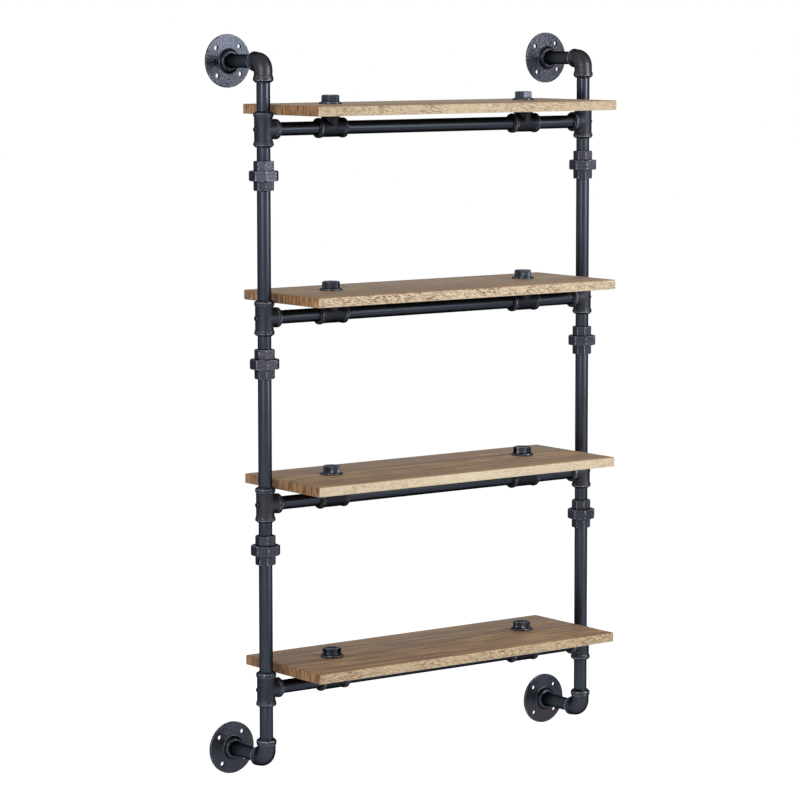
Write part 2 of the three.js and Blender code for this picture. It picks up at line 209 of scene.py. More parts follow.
def add(tree, kind, links=None, **settings):
    """Adds a node with its settings. Links map an input to a value, a socket or a node, and a node
    stands for its first open output."""
    made = tree.nodes.new(kind)
    for key, value in settings.items():
        setattr(made, key, value)
    for key, value in (links or {}).items():
        if isinstance(value, bpy.types.Node):
            value = next(socket for socket in value.outputs if socket.enabled)
        if isinstance(value, bpy.types.NodeSocket):
            tree.links.new(value, made.inputs[key])
        else:
            made.inputs[key].default_value = value
    return made


def linear(hex_colour):
    """sRGB hex value as a linear colour."""
    channels = [int(hex_colour[i:i + 2], 16) / 255 for i in (1, 3, 5)]
    return (*[c / 12.92 if c <= 0.04045 else ((c + 0.055) / 1.055) ** 2.4 for c in channels], 1.0)


def noise_scale(width):
    """Scale that makes the features of a noise this many millimetres wide."""
    return 1 / (width * MM)


def new_material(name):
    """Empty node material and its tree."""
    material = bpy.data.materials.new(name)
    material.use_nodes = True
    material.node_tree.nodes.clear()
    return material, material.node_tree


# Cast malleable iron dipped in a thin dark coat. It gives a satin orange-peel skin with a pebble
# grain, bright specks where raised edges are rubbed bare, and brown where hands have been. The peel's
# depth is in millimetres, the pebble's a share of its full one, and the last two bound the roughness.
def coated_iron(name, dark, light, peel, pebble, smooth, rough):
    material, tree = new_material(name)
    place = add(tree, "ShaderNodeTexCoord").outputs["Object"]
    grain = add(tree, "ShaderNodeTexNoise", {"Vector": place, "Scale": noise_scale(IRON_PEBBLE),
                                             "Detail": 2.0})
    lumps = add(tree, "ShaderNodeTexNoise", {"Vector": place, "Scale": noise_scale(IRON_PEEL),
                                             "Detail": 2.0})
    blotch = add(tree, "ShaderNodeTexNoise", {"Vector": place, "Scale": noise_scale(IRON_BLOTCH),
                                              "Detail": 4.0})
    handled = add(tree, "ShaderNodeTexNoise", {"Vector": place, "Scale": noise_scale(IRON_HANDLING),
                                               "Detail": 2.0})
    coat = add(tree, "ShaderNodeMix", {0: blotch, 6: linear(dark), 7: linear(light)}, data_type="RGBA")
    rub = add(tree, "ShaderNodeMapRange", {0: handled, 1: 0.52, 2: 0.72, 3: 0.0, 4: 0.4})
    browned = add(tree, "ShaderNodeMix", {0: rub, 6: coat, 7: linear("#43383a")}, data_type="RGBA")
    wear = add(tree, "ShaderNodeAttribute", attribute_name="wear").outputs["Fac"]
    broken = add(tree, "ShaderNodeMath", {0: wear, 1: grain}, operation="MULTIPLY")
    bare = add(tree, "ShaderNodeMapRange", {0: broken, 1: 0.42, 2: 0.62, 3: 0.0, 4: 0.8})
    colour = add(tree, "ShaderNodeMix", {0: bare, 6: browned, 7: linear("#8f949c")}, data_type="RGBA")
    gloss = add(tree, "ShaderNodeMapRange", {0: blotch, 1: 0.3, 2: 0.7, 3: smooth, 4: rough})
    pebbled = add(tree, "ShaderNodeBump", {"Height": grain, "Distance": 0.45 * MM, "Strength": pebble})
    skin = add(tree, "ShaderNodeBump", {"Height": lumps, "Distance": peel * MM, "Strength": 1.0,
                                        "Normal": pebbled})
    shader = add(tree, "ShaderNodeBsdfPrincipled", {
        "Base Color": colour, "Metallic": 1.0, "Roughness": gloss, "Specular Tint": linear("#84878e"),
        "Normal": skin})
    add(tree, "ShaderNodeOutputMaterial", {"Surface": shader})
    return material


# Drawn steel pipe under one coat of satin charcoal paint. It gives long smooth highlights that
# drift a little where the coat is thicker, and a faint grit.
def painted_pipe(name, dark, light, smooth, rough):
    material, tree = new_material(name)
    place = add(tree, "ShaderNodeTexCoord").outputs["Object"]
    drift = add(tree, "ShaderNodeTexNoise", {"Vector": place, "Scale": noise_scale(PAINT_DRIFT),
                                             "Detail": 3.0})
    fine = add(tree, "ShaderNodeTexNoise", {"Vector": place, "Scale": noise_scale(PAINT_GRIT),
                                            "Detail": 2.0})
    colour = add(tree, "ShaderNodeMix", {0: drift, 6: linear(dark), 7: linear(light)},
                 data_type="RGBA")
    gloss = add(tree, "ShaderNodeMapRange", {0: drift, 1: 0.3, 2: 0.7, 3: smooth, 4: rough})
    grit = add(tree, "ShaderNodeBump", {"Height": fine, "Distance": 0.015 * MM, "Strength": 0.3})
    shader = add(tree, "ShaderNodeBsdfPrincipled", {
        "Base Color": colour, "Metallic": 1.0, "Roughness": gloss, "Specular Tint": linear("#84878e"),
        "Normal": grit})
    add(tree, "ShaderNodeOutputMaterial", {"Surface": shader})
    return material


# Edge-glued oak under a thin brown oil. It gives narrow staves that differ in tone, streaks and open
# pores along the grain, a paler sawn front edge with short dark dashes, and redder end grain in
# blocks. Each board took its own amount of oil.
def oiled_oak():
    material, tree = new_material("oak_edge_glued_brown_oil")
    coordinates = add(tree, "ShaderNodeTexCoord").outputs
    place = coordinates["Object"]
    facing = add(tree, "ShaderNodeSeparateXYZ", {0: coordinates["Normal"]}).outputs
    spot = add(tree, "ShaderNodeSeparateXYZ", {0: place}).outputs

    # Where a point lies: its stave, how far it is from a glue joint, and its board
    first_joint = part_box("board_1")[0].y + FRONT_STAVE * MM
    staves = add(tree, "ShaderNodeMapRange", {0: spot["Y"], 1: first_joint,
                                              2: first_joint + STAVE_WIDTH * MM}, clamp=False)
    stave = add(tree, "ShaderNodeMath", {0: staves}, operation="FLOOR")
    from_joint = add(tree, "ShaderNodeMath", {0: staves, 1: 0.5}, operation="PINGPONG")
    boards = add(tree, "ShaderNodeMath", {0: spot["Z"], 1: BOARD_PITCH * MM}, operation="DIVIDE")
    board = add(tree, "ShaderNodeMath", {0: boards}, operation="FLOOR")

    # Chance values from 0 to 1, the same all over one stave or one board
    stave_of_board = add(tree, "ShaderNodeCombineXYZ", {0: stave, 1: board})
    own = add(tree, "ShaderNodeTexWhiteNoise", {"Vector": stave_of_board})
    board_alone = add(tree, "ShaderNodeCombineXYZ", {2: board})
    pale, rough_sawn, oil_left_off = [
        add(tree, "ShaderNodeTexWhiteNoise", {"Vector": board_alone, "W": seed}, noise_dimensions="4D")
        for seed in (PALE_SEED, DASH_SEED, OIL_SEED)]

    # Grain patterns: all run along the boards, but the end grain's blocks run across them
    apart = add(tree, "ShaderNodeVectorMath", {0: place, 1: own.outputs["Color"]}, operation="ADD")
    patterns = []
    for width, stretch, detail, wander in ((OAK_FIGURE, (0.06, 1.0, 1.0), 4.0, 1.0),
                                           (OAK_STREAK, (0.05, 1.0, 1.0), 4.0, 0.0),
                                           (OAK_PORE, (0.3, 1.0, 1.0), 1.5, 0.0),
                                           (END_GRAIN_BLOCK, (1.0, 1.0, 0.2), 3.0, 0.0)):
        lie = add(tree, "ShaderNodeMapping", {"Vector": apart, "Scale": stretch})
        patterns.append(add(tree, "ShaderNodeTexNoise", {
            "Vector": lie, "Scale": noise_scale(width), "Detail": detail, "Distortion": wander}))
    figure, streak, pore, block = patterns
    cloud = add(tree, "ShaderNodeTexNoise", {"Vector": place, "Scale": noise_scale(OAK_STAIN),
                                             "Detail": 3.0})

    face = oak_face(tree, own, figure, streak, cloud, from_joint, oil_left_off, pore)
    edge = oak_edge(tree, place, pale, rough_sawn, cloud)
    end = oak_end(tree, own, oil_left_off, block)

    # Each side shows its own wood. Along the sawn edges the arrises carry painted light: a dark line of
    # painted shade at the top corner and a pale line of painted highlight at the bottom one.
    on_end = add(tree, "ShaderNodeMath", {0: facing["X"]}, operation="ABSOLUTE")
    on_edge = add(tree, "ShaderNodeMath", {0: facing["Y"]}, operation="ABSOLUTE")
    colour = add(tree, "ShaderNodeMix", {0: on_edge, 6: face, 7: edge}, data_type="RGBA")
    off_edge = add(tree, "ShaderNodeMath", {0: 1.0, 1: on_edge}, operation="SUBTRACT")
    painted_arris = add(tree, "ShaderNodeMath", {0: on_edge, 1: off_edge}, operation="MULTIPLY")
    painted_arris = add(tree, "ShaderNodeMath", {0: painted_arris, 1: 2.6}, operation="MULTIPLY")
    under = add(tree, "ShaderNodeMath", {0: facing["Z"], 1: 0.0}, operation="LESS_THAN")
    # Painted shade on the upper arris, painted highlight on the lower
    corner = add(tree, "ShaderNodeMix", {0: under, 6: linear("#7c5839"), 7: linear("#d9cfb6")},
                 data_type="RGBA")
    colour = add(tree, "ShaderNodeMix", {0: painted_arris, 6: colour, 7: corner}, data_type="RGBA")
    colour = add(tree, "ShaderNodeMix", {0: on_end, 6: colour, 7: end}, data_type="RGBA")
    gloss = add(tree, "ShaderNodeMapRange", {0: figure, 1: 0.3, 2: 0.7, 3: 0.6, 4: 0.74})
    relief = add(tree, "ShaderNodeBump", {"Height": pore, "Distance": 0.2 * MM, "Strength": 0.35},
                 invert=True)
    shader = add(tree, "ShaderNodeBsdfPrincipled", {
        "Base Color": colour, "Roughness": gloss, "IOR": 1.48, "Specular IOR Level": 0.5,
        "Normal": relief})
    add(tree, "ShaderNodeOutputMaterial", {"Surface": shader})
    return material


def oak_face(tree, own, figure, streak, cloud, from_joint, oil_left_off, pore):
    """Top and underside: each stave's own brown, then the layers over it from the broadest down."""
    colour = add(tree, "ShaderNodeMix", {0: own, 6: linear("#5a3c20"), 7: linear("#ae8a59")},
                 data_type="RGBA")
    lighter = add(tree, "ShaderNodeMapRange", {0: figure, 1: 0.45, 2: 0.6, 3: 0.0, 4: 0.68})
    darker = add(tree, "ShaderNodeMapRange", {0: streak, 1: 0.47, 2: 0.57, 3: 0.0, 4: 0.9})
    stained = add(tree, "ShaderNodeMapRange", {0: cloud, 1: 0.46, 2: 0.62, 3: 0.0, 4: 0.6})
    glue = add(tree, "ShaderNodeMapRange", {0: from_joint, 1: 0.0, 2: 0.035, 3: 0.5, 4: 0.0})
    thin_oil = add(tree, "ShaderNodeMapRange", {0: oil_left_off, 3: 0.0, 4: 0.36})
    open_pore = add(tree, "ShaderNodeMapRange", {0: pore, 1: 0.56, 2: 0.64, 3: 0.0, 4: 0.65})
    for amount, tone in ((lighter, "#b89360"), (darker, "#4d341e"), (stained, "#66482c"),
                         (glue, "#a48c70"), (thin_oil, "#baaa93"), (open_pore, "#4d3624")):
        colour = add(tree, "ShaderNodeMix", {0: amount, 6: colour, 7: linear(tone)}, data_type="RGBA")
    return colour


def oak_edge(tree, place, pale, rough_sawn, cloud):
    """Sawn front and back edges: pale, with short dashes that lie a little askew and crowd in places."""
    lie = add(tree, "ShaderNodeMapping", {"Vector": place, "Rotation": (0.0, 0.16, 0.0),
                                          "Scale": (5.6, 1.0, 1.0)}, vector_type="TEXTURE")
    dash = add(tree, "ShaderNodeTexNoise", {"Vector": lie, "Scale": noise_scale(SAWN_DASH),
                                            "Detail": 1.0})
    colour = add(tree, "ShaderNodeMix", {0: pale, 6: linear("#b7a384"), 7: linear("#cbbca1")},
                 data_type="RGBA")
    crowded = add(tree, "ShaderNodeMapRange", {0: cloud, 1: 0.4, 2: 0.6, 3: 0.5, 4: 1.0})
    strength = add(tree, "ShaderNodeMapRange", {0: rough_sawn, 3: 0.35, 4: 1.0})
    dashed = add(tree, "ShaderNodeMapRange", {0: dash, 1: 0.49, 2: 0.54, 3: 0.0, 4: strength})
    dashed = add(tree, "ShaderNodeMath", {0: dashed, 1: crowded}, operation="MULTIPLY")
    return add(tree, "ShaderNodeMix", {0: dashed, 6: colour, 7: linear("#6b4b32")}, data_type="RGBA")


def oak_end(tree, own, oil_left_off, block):
    """End grain: redder, darker where it soaked up more oil, and broken into blocks."""
    colour = add(tree, "ShaderNodeMix", {0: own, 6: linear("#8f6640"), 7: linear("#bd9469")},
                 data_type="RGBA")
    soaked = add(tree, "ShaderNodeMapRange", {0: oil_left_off, 3: 0.3, 4: 0.0})
    blocked = add(tree, "ShaderNodeMapRange", {0: block, 1: 0.46, 2: 0.58, 3: 0.0, 4: 0.8})
    for amount in (soaked, blocked):
        colour = add(tree, "ShaderNodeMix", {0: amount, 6: colour, 7: linear("#55361e")},
                     data_type="RGBA")
    return colour


# Sand cast and left as it came: a dull, even skin with pale worn bands. It is on the riser tees, the
# union ends and the set screws.
IRON = coated_iron("malleable_iron_sand_cast_dark_coat", "#27292f", "#383b43",
                   peel=0.5, pebble=0.27, smooth=0.42, rough=0.56)
# The same iron darkened as painted shade: the rail tees sit in the shade below the boards
SHADED_RAIL_IRON = coated_iron("malleable_iron_sand_cast_painted_shade", "#1b1d21", "#292b31",
                        peel=0.5, pebble=0.27, smooth=0.42, rough=0.56)
# Browner and softly shining on the upper elbows: the brown is rubbed in by hands, and the lighter colour is
# painted light from the high lamps
HANDLED_AND_LIT_IRON = coated_iron("malleable_iron_handled_dark_coat_painted_light", "#2f2f34", "#434248",
                           peel=0.5, pebble=0.27, smooth=0.3, rough=0.42)
# Tumbled before it was dipped: a finer skin with clearer highlights on lower elbows, nuts and tails
SMOOTH_IRON = coated_iron("malleable_iron_tumbled_dark_coat", "#292b31", "#3a3d46",
                          peel=0.4, pebble=0.23, smooth=0.3, rough=0.42)
# Turned face under a thin coat: a smooth grey sheen that runs from light to dark across the disc
FLANGE_IRON = coated_iron("malleable_iron_turned_flange_dark_coat", "#2a2d33", "#393c44",
                          peel=0.3, pebble=0.75, smooth=0.22, rough=0.3)
# Face left as cast: the same sheen broken into glittering pebbles
PEBBLED_FLANGE_IRON = coated_iron("malleable_iron_pebbled_flange_dark_coat", "#2a2d33", "#3c3f47",
                                  peel=1.1, pebble=1.0, smooth=0.22, rough=0.3)
# Turned face darkened as painted shade on the two lower flanges, which catch less of the lamps, with the
# casting's lumps softened
SHADED_FLANGE_IRON = coated_iron("malleable_iron_turned_flange_painted_shade", "#25282e", "#373a42",
                               peel=0.5, pebble=0.55, smooth=0.26, rough=0.34)
# Forged steel under the same coat: flat, blue-grey facets, the glossiest of the dark parts
PLUG_STEEL = coated_iron("steel_forged_plug_dark_coat", "#2f323a", "#494d58",
                         peel=0.25, pebble=0.33, smooth=0.2, rough=0.3)

# Satin paint on the risers: one soft light line down each pipe
PAINT = painted_pipe("steel_pipe_drawn_satin_paint", "#2e3138", "#383c44", smooth=0.34, rough=0.41)
# The same paint, glossier and a little lighter on the two upper pipes: the lighter colour is painted light
# where the lamps fall strongest, and the lower roughness gives a sharper, brighter line
LIT_TOP_PAINT = painted_pipe("steel_pipe_drawn_glossy_paint_painted_light", "#30333b", "#3c4049", smooth=0.26, rough=0.32)
# The same paint darkened as painted shade: the rails lie in the shade under the boards
SHADED_RAIL_PAINT = painted_pipe("steel_pipe_rail_satin_paint_painted_shade", "#272a30", "#30343b", smooth=0.34, rough=0.41)

OAK = oiled_oak()

# Upper flanges: turned and pebbled faces; lower flanges: the turned face darkened with painted shade
FLANGE_SKINS_AND_SHADE = {"upper_left": FLANGE_IRON, "upper_right": PEBBLED_FLANGE_IRON,
                "lower_left": SHADED_FLANGE_IRON, "lower_right": SHADED_FLANGE_IRON}


# Mesh forms

def finish_mesh(mesh):
    """Welds seams and poles, turns the faces outwards and keeps only the real corners sharp."""
    work = bmesh.new()
    work.from_mesh(mesh)
    bmesh.ops.remove_doubles(work, verts=work.verts, dist=WELD * MM)
    bmesh.ops.dissolve_degenerate(work, edges=work.edges, dist=WELD * MM)
    bmesh.ops.recalc_face_normals(work, faces=work.faces)
    work.to_mesh(mesh)
    work.free()
    mesh.shade_smooth()
    mesh.set_sharp_from_angle(angle=SHARP_ANGLE)


def piece(name, mesh, material, slot, *nodes):
    """Makes a mesh a piece of the unit: it rides with the frame and stands for its CAD nodes."""
    mesh.name = name
    if not mesh.materials:
        mesh.materials.append(material)
    made = bpy.data.objects.new(name, mesh)
    bpy.context.scene.collection.objects.link(made)
    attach(made, "root")
    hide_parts(*nodes)


def mesh_of(strips, place=Matrix.Identity(4)):
    """Mesh from strips of rows of points. A point is x, y, z and its wear, and all the rows of a strip
    are of one length."""
    points, faces, wear = [], [], []
    for rows in strips:
        start = len(points)
        width = len(rows[0])
        for row in rows:
            for x, y, z, rubbed in row:
                points.append(place @ Vector((x, y, z)) * MM)
                wear.append(rubbed)
        for r in range(len(rows) - 1):
            for c in range(width - 1):
                a = start + r * width + c
                faces.append((a, a + 1, a + width + 1, a + width))
    mesh = bpy.data.meshes.new("form")
    mesh.from_pydata(points, [], faces)
    mesh.attributes.new("wear", "FLOAT", "POINT").data.foreach_set("value", wear)
    finish_mesh(mesh)
    return mesh


def even_columns(count):
    """Angles evenly round a full turn, with the first one again at the end."""
    return [2 * math.pi * i / count for i in range(count + 1)]


def turned(profile, columns):
    """Strip round the Z axis. A profile point is radius, height and wear, and each of them is one number
    or a list with a number for each column."""
    rows = []
    for point in profile:
        radii, heights, wears = [value if isinstance(value, list) else [value] * len(columns)
                                 for value in point]
        rows.append([(r * math.cos(a), r * math.sin(a), h, w)
                     for a, r, h, w in zip(columns, radii, heights, wears)])
    return rows


def arc(centre, radius, start, end, steps, wear=0.0):
    """Profile points on an arc in the plane of radius and height, angles in degrees."""
    made = []
    for i in range(steps + 1):
        angle = math.radians(start + (end - start) * i / steps)
        made.append((centre[0] + radius * math.cos(angle), centre[1] + radius * math.sin(angle), wear))
    return made


# Socket of a fitting and its lip: radius, distance back from the end face and wear
SOCKET = [(0.0, SOCKET_DEPTH, 0.0), (SOCKET_RADIUS, SOCKET_DEPTH, 0.0), (SOCKET_RADIUS, 0.5, 0.0)]
LIP = [(SOCKET_RADIUS + 0.4, 0.1, 0.5), (12.3, 0.0, 0.5), (12.8, 0.25, 0.9)]


def mouth(stretch=1.0):
    """Banded mouth, from the socket's floor out over the lip, band and thin ridge to the plain body."""
    outside = [*LIP, (13.2, 0.8, 0.6), (14.3, 1.6, 0.1), (15.1, 2.0, 0.4), (15.6, 2.5, 0.9),
               (BAND_RADIUS, 3.3, 1.0), (BAND_RADIUS, 5.2, 0.6), (15.75, 6.6, 0.9), (15.4, 7.2, 0.6),
               (15.05, 7.5, 0.1), (15.25, 7.9, 0.9), (15.2, 8.4, 1.0), (14.8, 8.9, 0.4), (14.5, 9.4, 0.0),
               (BODY_RADIUS, MOUTH_LENGTH, 0.0)]
    return SOCKET + [(radius, back * stretch, wear) for radius, back, wear in outside]


def short_mouth():
    """Mouth of the outlet under a board, where the band grows straight out of the body."""
    return [*SOCKET, *LIP, (14.2, 1.6, 0.1), (15.5, 2.2, 0.8), (BAND_RADIUS, 3.0, 1.0), (15.8, 4.2, 0.8),
            (15.3, 4.8, 0.4), (BODY_RADIUS, 5.4, 0.0)]


def wall_mouth():
    """Plain mouth of the elbow's wall arm: no band, a slim rounded rim that catches the light."""
    return [*SOCKET, LIP[0], (13.8, 0.0, 1.0), (14.9, 0.3, 1.3), (15.45, 1.0, 1.3), (15.5, 1.9, 1.3),
            (15.3, 2.6, 0.6), (15.05, 3.4, 0.0), (14.95, 5.2, 0.0), (14.8, 7.0, 0.0)]


def between(a, b, t):
    """Value a share t of the way from a to b."""
    return a + (b - a) * t


def tee_strips(branch_reach, branch_mouth, fillet):
    """Tee about the crossing of its centre lines: the run along Z and the branch along +X."""
    strips = []
    run_mouth = mouth()
    body_end = TEE_RUN_REACH - run_mouth[-1][1]
    branch_end = branch_reach - branch_mouth[-1][1]
    outer = BODY_RADIUS + fillet
    circle = even_columns(2 * HALF_COLUMNS)
    half = circle[:HALF_COLUMNS + 1]
    strips.append([[(branch_reach - d, r * math.cos(a), r * math.sin(a), w) for a in circle]
                   for r, d, w in branch_mouth])
    for up in (1, -1):
        strips.append([[(r * math.sin(a), r * math.cos(a), up * (TEE_RUN_REACH - d), w) for a in circle]
                       for r, d, w in run_mouth])
        rows = []
        for step in range(BODY_STEPS + 1):
            rows.append([(between(branch_end, outer * math.sin(a), step / BODY_STEPS),
                          BODY_RADIUS * math.cos(a), up * BODY_RADIUS * math.sin(a), 0.0)
                         for a in half])
        for step in range(1, FILLET_STEPS):
            rows.append([crotch_point(a, up, fillet, step / FILLET_STEPS) for a in half])
        for step in range(BODY_STEPS + 1):
            rows.append([(BODY_RADIUS * math.sin(a), BODY_RADIUS * math.cos(a),
                          up * between(outer * math.sin(a), body_end, step / BODY_STEPS), 0.0)
                         for a in half])
        strips.append(rows)
        strips.append([[(-BODY_RADIUS * math.sin(a), BODY_RADIUS * math.cos(a),
                         up * body_end * step / BODY_STEPS, 0.0) for a in half]
                       for step in range(BODY_STEPS + 1)])
    return strips


def crotch_point(angle, up, fillet, t):
    """Point of the fillet in the crotch of a tee, at an angle round the branch."""
    reach = BODY_RADIUS + fillet
    centre = Vector((reach * math.sin(angle), reach * math.cos(angle), up * reach * math.sin(angle)))
    start = Vector((0, -math.cos(angle), -up * math.sin(angle)))
    end = Vector((-math.sin(angle), -math.cos(angle), 0))
    spread = math.acos(max(-1.0, min(1.0, start.dot(end))))
    if spread < 0.0001:
        turn = end
    else:
        turn = (start * math.sin((1 - t) * spread) + end * math.sin(t * spread)) / math.sin(spread)
    return (*(centre + fillet * turn), 0.0)


def elbow_strips(down):
    """Elbow about the crossing of its centre lines: one arm to the wall, the other up or down."""
    circle = even_columns(2 * HALF_COLUMNS)
    rows = [[(r * math.sin(a), ELBOW_WALL_REACH - d, r * math.cos(a), w) for a in circle]
            for r, d, w in wall_mouth()]
    for step in range(BEND_STEPS + 1):
        lean = math.pi / 2 * step / BEND_STEPS
        y = ELBOW_BEND_RADIUS * (1 - math.sin(lean))
        z = -ELBOW_BEND_RADIUS * (1 - math.cos(lean))
        r = BODY_RADIUS * (1 + ELBOW_BULGE * math.sin(2 * lean))
        rows.append([(r * math.sin(a), y - r * math.cos(a) * math.sin(lean),
                      z + r * math.cos(a) * math.cos(lean), 0.0) for a in circle])
    rows += [[(r * math.sin(a), -r * math.cos(a), d - ELBOW_RISER_REACH, w) for a in circle]
             for r, d, w in reversed(mouth(ELBOW_BAND_STRETCH))]
    if not down:
        rows = [[(x, y, -z, w) for x, y, z, w in row] for row in rows]
    return [rows]


def wrench_columns(corners, flats, rounding):
    """Angles, radii and wear of a regular wrench form with softly rounded corners, one at angle 0."""
    part = math.pi / corners
    flat = flats / 2
    centre = (flat - rounding) / math.cos(part)
    tangent = math.atan2(rounding * math.sin(part), centre + rounding * math.cos(part))
    offsets = [0.0, tangent / 2, tangent]
    offsets += [between(tangent, 2 * part - tangent, i / FLAT_STEPS) for i in range(1, FLAT_STEPS)]
    offsets += [2 * part - tangent, 2 * part - tangent / 2]
    angles, radii, wears = [], [], []
    for corner in range(corners):
        for offset in offsets:
            near = min(offset, 2 * part - offset)
            on_corner = near <= tangent + 1e-9
            if on_corner:
                across = centre * math.sin(near)
                radius = centre * math.cos(near) + math.sqrt(max(0.0, rounding ** 2 - across ** 2))
            else:
                radius = flat / math.cos(part - near)
            angles.append(2 * part * corner + offset)
            radii.append(radius)
            wears.append(CORNER_WEAR if on_corner else FLAT_WEAR)
    return angles + [2 * math.pi], radii + [radii[0]], wears + [wears[0]]


def chamfered(radii, wears, rim, height, direction):
    """Rows of a wrench form's end cut by a cone in the lathe, from the flat face to the walls."""
    slope = math.tan(math.radians(CHAMFER_ANGLE))
    cut = [height - direction * max(0.0, r - rim) * slope for r in radii]
    below = [h - direction * EDGE_WEAR_WIDTH for h in cut]
    return [(rim, height, EDGE_WEAR), (radii, cut, EDGE_WEAR), (radii, below, wears)]


def union_tail_strips():
    """Tail with its octagon end up, and the collar that the nut pulls down."""
    angles, radii, wears = wrench_columns(UNION_CORNERS, UNION_END_FLATS, WRENCH_CORNER_ROUND)
    rim = UNION_END_FLATS / 2 - UNION_END_INSET
    foot = UNION_NUT_TOP + FIT_GAP
    profile = [(0.0, UNION_TOP - SOCKET_DEPTH, 0), (SOCKET_RADIUS, UNION_TOP - SOCKET_DEPTH, 0),
               (SOCKET_RADIUS, UNION_TOP, 0.3)]
    profile += chamfered(radii, wears, rim, UNION_TOP, 1)
    profile += [(radii, foot + EDGE_BREAK, wears), ([r - EDGE_BREAK for r in radii], foot, 0.2),
                (UNION_TAIL_RADIUS, foot, 0), (UNION_TAIL_RADIUS, UNION_COLLAR_TOP, 0),
                (UNION_COLLAR_RADIUS, UNION_COLLAR_TOP, 0), (UNION_COLLAR_RADIUS, UNION_COLLAR_BOTTOM, 0),
                (0.0, UNION_COLLAR_BOTTOM, 0)]
    return [turned(profile, angles)]


def union_nut_strips():
    """Nut: it bears on the tail's collar and hides the seat."""
    angles, radii, wears = wrench_columns(UNION_CORNERS, UNION_NUT_FLATS, WRENCH_CORNER_ROUND)
    rim = UNION_NUT_FLATS / 2 - UNION_NUT_INSET
    bore = UNION_COLLAR_RADIUS + FIT_GAP
    neck = UNION_TAIL_RADIUS + FIT_GAP
    ledge = UNION_COLLAR_TOP + FIT_GAP
    profile = [(bore, UNION_NUT_BOTTOM, 0), (bore, ledge, 0), (neck, ledge, 0),
               (neck, UNION_NUT_TOP - NUT_BORE_CHAMFER, 0), (neck + NUT_BORE_CHAMFER, UNION_NUT_TOP, 0.5)]
    profile += chamfered(radii, wears, rim, UNION_NUT_TOP, 1)
    profile += reversed(chamfered(radii, wears, rim, UNION_NUT_BOTTOM, -1))
    profile += [(bore, UNION_NUT_BOTTOM, 0)]
    return [turned(profile, angles)]


def union_end_strips():
    """Threaded end, an octagon below the nut with its neck up inside."""
    angles, radii, wears = wrench_columns(UNION_CORNERS, UNION_END_FLATS, WRENCH_CORNER_ROUND)
    rim = UNION_END_FLATS / 2 - UNION_END_INSET
    top = UNION_NUT_BOTTOM - FIT_GAP
    neck_top = UNION_COLLAR_BOTTOM - FIT_GAP
    profile = [(0.0, neck_top, 0), (UNION_COLLAR_RADIUS, neck_top, 0), (UNION_COLLAR_RADIUS, top, 0),
               ([r - EDGE_BREAK for r in radii], top - 0.1, 0.2), (radii, top - 0.1 - EDGE_BREAK, wears)]
    profile += reversed(chamfered(radii, wears, rim, UNION_BOTTOM, -1))
    profile += [(SOCKET_RADIUS, UNION_BOTTOM, 0.3), (SOCKET_RADIUS, UNION_BOTTOM + SOCKET_DEPTH, 0),
                (0.0, UNION_BOTTOM + SOCKET_DEPTH, 0)]
    return [turned(profile, angles)]


def flange_mesh(x, z, turn):
    """Wall flange with its back on the wall: rim, dish with fine tool marks, hub and screw holes."""
    disc = FLANGE_RIM + FLANGE_DISH
    rim = FLANGE_RADIUS - FLANGE_EDGE_ROUND
    profile = [(SOCKET_RADIUS, 0.0, 0), (FLANGE_RADIUS - FLANGE_BACK_CHAMFER, 0.0, 0),
               (FLANGE_RADIUS, FLANGE_BACK_CHAMFER, 0.3)]
    profile += arc((rim, FLANGE_RIM - FLANGE_EDGE_ROUND), FLANGE_EDGE_ROUND, 0, 90, 4, 0.9)
    inner = HUB_RADIUS + HUB_FILLET
    outer = rim - FLANGE_RIM_LAND
    marks = int((outer - inner) / TOOL_MARK_PITCH)
    for i in range(POINTS_PER_MARK * marks + 1):
        t = i / (POINTS_PER_MARK * marks)
        rise = TOOL_MARK_DEPTH * math.sin(2 * math.pi * marks * t)
        profile.append((between(outer, inner, t), between(FLANGE_RIM, disc, t) + rise, 0.25))
    profile += arc((inner, disc + HUB_FILLET), HUB_FILLET, 270, 180, 5)[1:]
    profile += arc((HUB_RADIUS - HUB_ROUND, HUB_HEIGHT - HUB_ROUND), HUB_ROUND, 0, 90, 5, 0.4)
    # The hub's bore opens out in a worn chamfer
    profile += [(12.6, HUB_HEIGHT, 0.4), (11.9, HUB_HEIGHT - 0.5, 0.2),
                (SOCKET_RADIUS, HUB_HEIGHT - 1.4, 0), (SOCKET_RADIUS, 0.0, 0)]
    out = Matrix.Translation((x, 0, z)) @ OUT_OF_WALL
    cutters = []
    for i in range(SCREW_COUNT):
        angle = 2 * math.pi * (i + 0.5) / SCREW_COUNT + math.radians(turn)
        at = Matrix.Translation((x + SCREW_CIRCLE_RADIUS * math.cos(angle), 0,
                                 z + SCREW_CIRCLE_RADIUS * math.sin(angle)))
        cutters.append(drill(SCREW_HOLE_RADIUS, SCREW_HOLE_SIDES, at @ OUT_OF_WALL, low=-2, high=9))
    return cut(mesh_of([turned(profile, even_columns(FLANGE_SIDES))], out), cutters)


def drill(radius, sides, place, low, high):
    """Rod along Z that cuts a round hole. It starts and ends clear of what it cuts."""
    rod = [(0, low, 0), (radius, low, 0), (radius, high, 0), (0, high, 0)]
    return mesh_of([turned(rod, even_columns(sides))], place)


def cut(blank, cutters):
    """Cuts the cutters out of the blank and returns the finished mesh. All helpers are removed."""
    body = bpy.data.objects.new("blank", blank)
    bpy.context.scene.collection.objects.link(body)
    helpers = []
    for i, mesh in enumerate(cutters):
        tool = bpy.data.objects.new(f"cutter_{i}", mesh)
        bpy.context.scene.collection.objects.link(tool)
        modifier = body.modifiers.new(f"cut_{i}", "BOOLEAN")
        modifier.operation = "DIFFERENCE"
        modifier.solver = "EXACT"
        modifier.object = tool
        helpers.append(tool)
    view = bpy.context.evaluated_depsgraph_get()
    mesh = bpy.data.meshes.new_from_object(body.evaluated_get(view))
    for helper in [*helpers, body]:
        bpy.data.objects.remove(helper)
    finish_mesh(mesh)
    mesh.materials.clear()
    return mesh


